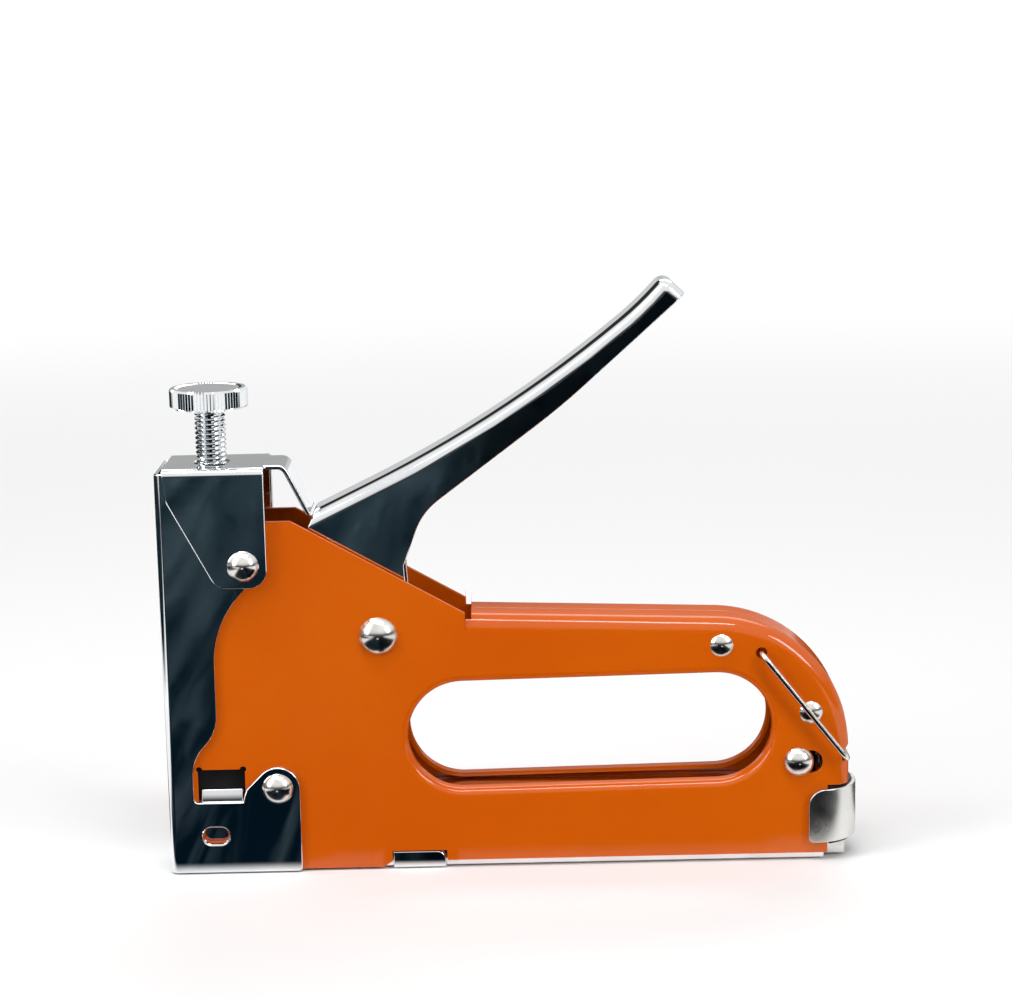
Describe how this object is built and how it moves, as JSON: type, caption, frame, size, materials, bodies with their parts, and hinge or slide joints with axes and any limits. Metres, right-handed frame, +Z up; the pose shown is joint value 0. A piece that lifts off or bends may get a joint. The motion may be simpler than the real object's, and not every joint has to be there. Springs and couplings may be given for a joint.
{
  "type": "staple gun",
  "caption": "Hand staple gun: orange pressed-steel body, chromed nose and squeeze lever, knob that sets the spring, slide-out staple rail and wire handle lock.",
  "frame": {"origin": "middle of the bounding box at the foot of the nose", "axes": "+X from the nose to the tail, +Y across to the far side, +Z up"},
  "size_m": [0.1436, 0.023, 0.1215],
  "materials": {
    "orange_paint": "gloss enamel",
    "chrome": "polished",
    "rivet_steel": "bright nickel",
    "zinc": "satin zinc",
    "inner_steel": "oiled",
    "spring_steel": "drawn wire",
    "black_plastic": "moulded",
    "black_rubber": "matte"
  },
  "bodies": {
    "frame": {"left_shell": "orange_paint", "right_shell": "orange_paint", "nose_channel": "chrome", "top_cap": "chrome", "nose_rivets": "rivet_steel", "lever_pin": "rivet_steel", "grip_rivets": "rivet_steel", "grip_spacers": "inner_steel", "pivot_bush": "inner_steel", "pivot_washers": "inner_steel", "stop_block": "black_plastic", "bumper": "black_rubber", "adjuster_nut": "inner_steel", "magazine_channel": "chrome", "main_spring": "spring_steel", "latch_spring": "spring_steel"},
    "lever": {"lever": "chrome"},
    "striker": {"plunger": "inner_steel", "driver_blade": "inner_steel"},
    "seat": {"spring_seat": "inner_steel"},
    "adjuster": {"adjuster_screw": "chrome"},
    "lock_wire": {"lock_wire": "rivet_steel"},
    "rail": {"magazine_rail": "zinc", "pusher_rod": "inner_steel", "rail_plug": "black_plastic", "rear_clip": "zinc", "pusher_spring": "spring_steel"},
    "pusher": {"pusher": "inner_steel"},
    "latch": {"latch_pin": "rivet_steel", "latch_plate": "inner_steel"}
  },
  "joints": [
    {"name": "lever_swing", "type": "hinge", "parent": "frame", "child": "lever", "pos_m": [-0.0273, 0, 0.0497], "axis": [0, 1, 0], "range_deg": [0, 45.01], "stiffness_Nm_per_rad": 4.8, "springref_deg": -29.79},
    {"name": "striker_lift", "type": "slide", "parent": "frame", "child": "striker", "axis": [0, 0, 1], "range_m": [0, 0.0199], "deforming": ["main_spring"]},
    {"name": "seat_slide", "type": "slide", "parent": "frame", "child": "seat", "axis": [0, 0, 1], "range_m": [-0.0015, 0.0015]},
    {"name": "adjuster_turn", "type": "hinge", "parent": "seat", "child": "adjuster", "pos_m": [-0.0608, 0, 0.09], "axis": [0, 0, 1], "range_deg": [-540.1, 540.1]},
    {"name": "lock_wire_swing", "type": "hinge", "parent": "frame", "child": "lock_wire", "pos_m": [0.05135, 0, 0.0446], "axis": [0, -1, 0], "range_deg": [0, 170]},
    {"name": "rail_slide", "type": "slide", "parent": "frame", "child": "rail", "axis": [1, 0, 0], "range_m": [0, 0.105]},
    {"name": "pusher_feed", "type": "slide", "parent": "rail", "child": "pusher", "axis": [1, 0, 0], "range_m": [0, 0.085], "stiffness_N_per_m": 40, "springref_m": -0.075, "deforming": ["pusher_spring"]},
    {"name": "latch_slide", "type": "slide", "parent": "frame", "child": "latch", "axis": [1, 0, 0], "range_m": [0, 0.0026], "stiffness_N_per_m": 800, "springref_m": -0.002, "deforming": ["latch_spring"]}
  ],
  "couplings": [
    {"joint": "lever_swing", "follows": "striker_lift", "rad_per_m": 39.468},
    {"joint": "adjuster_turn", "follows": "seat_slide", "rad_per_m": 6283.2}
  ]
}
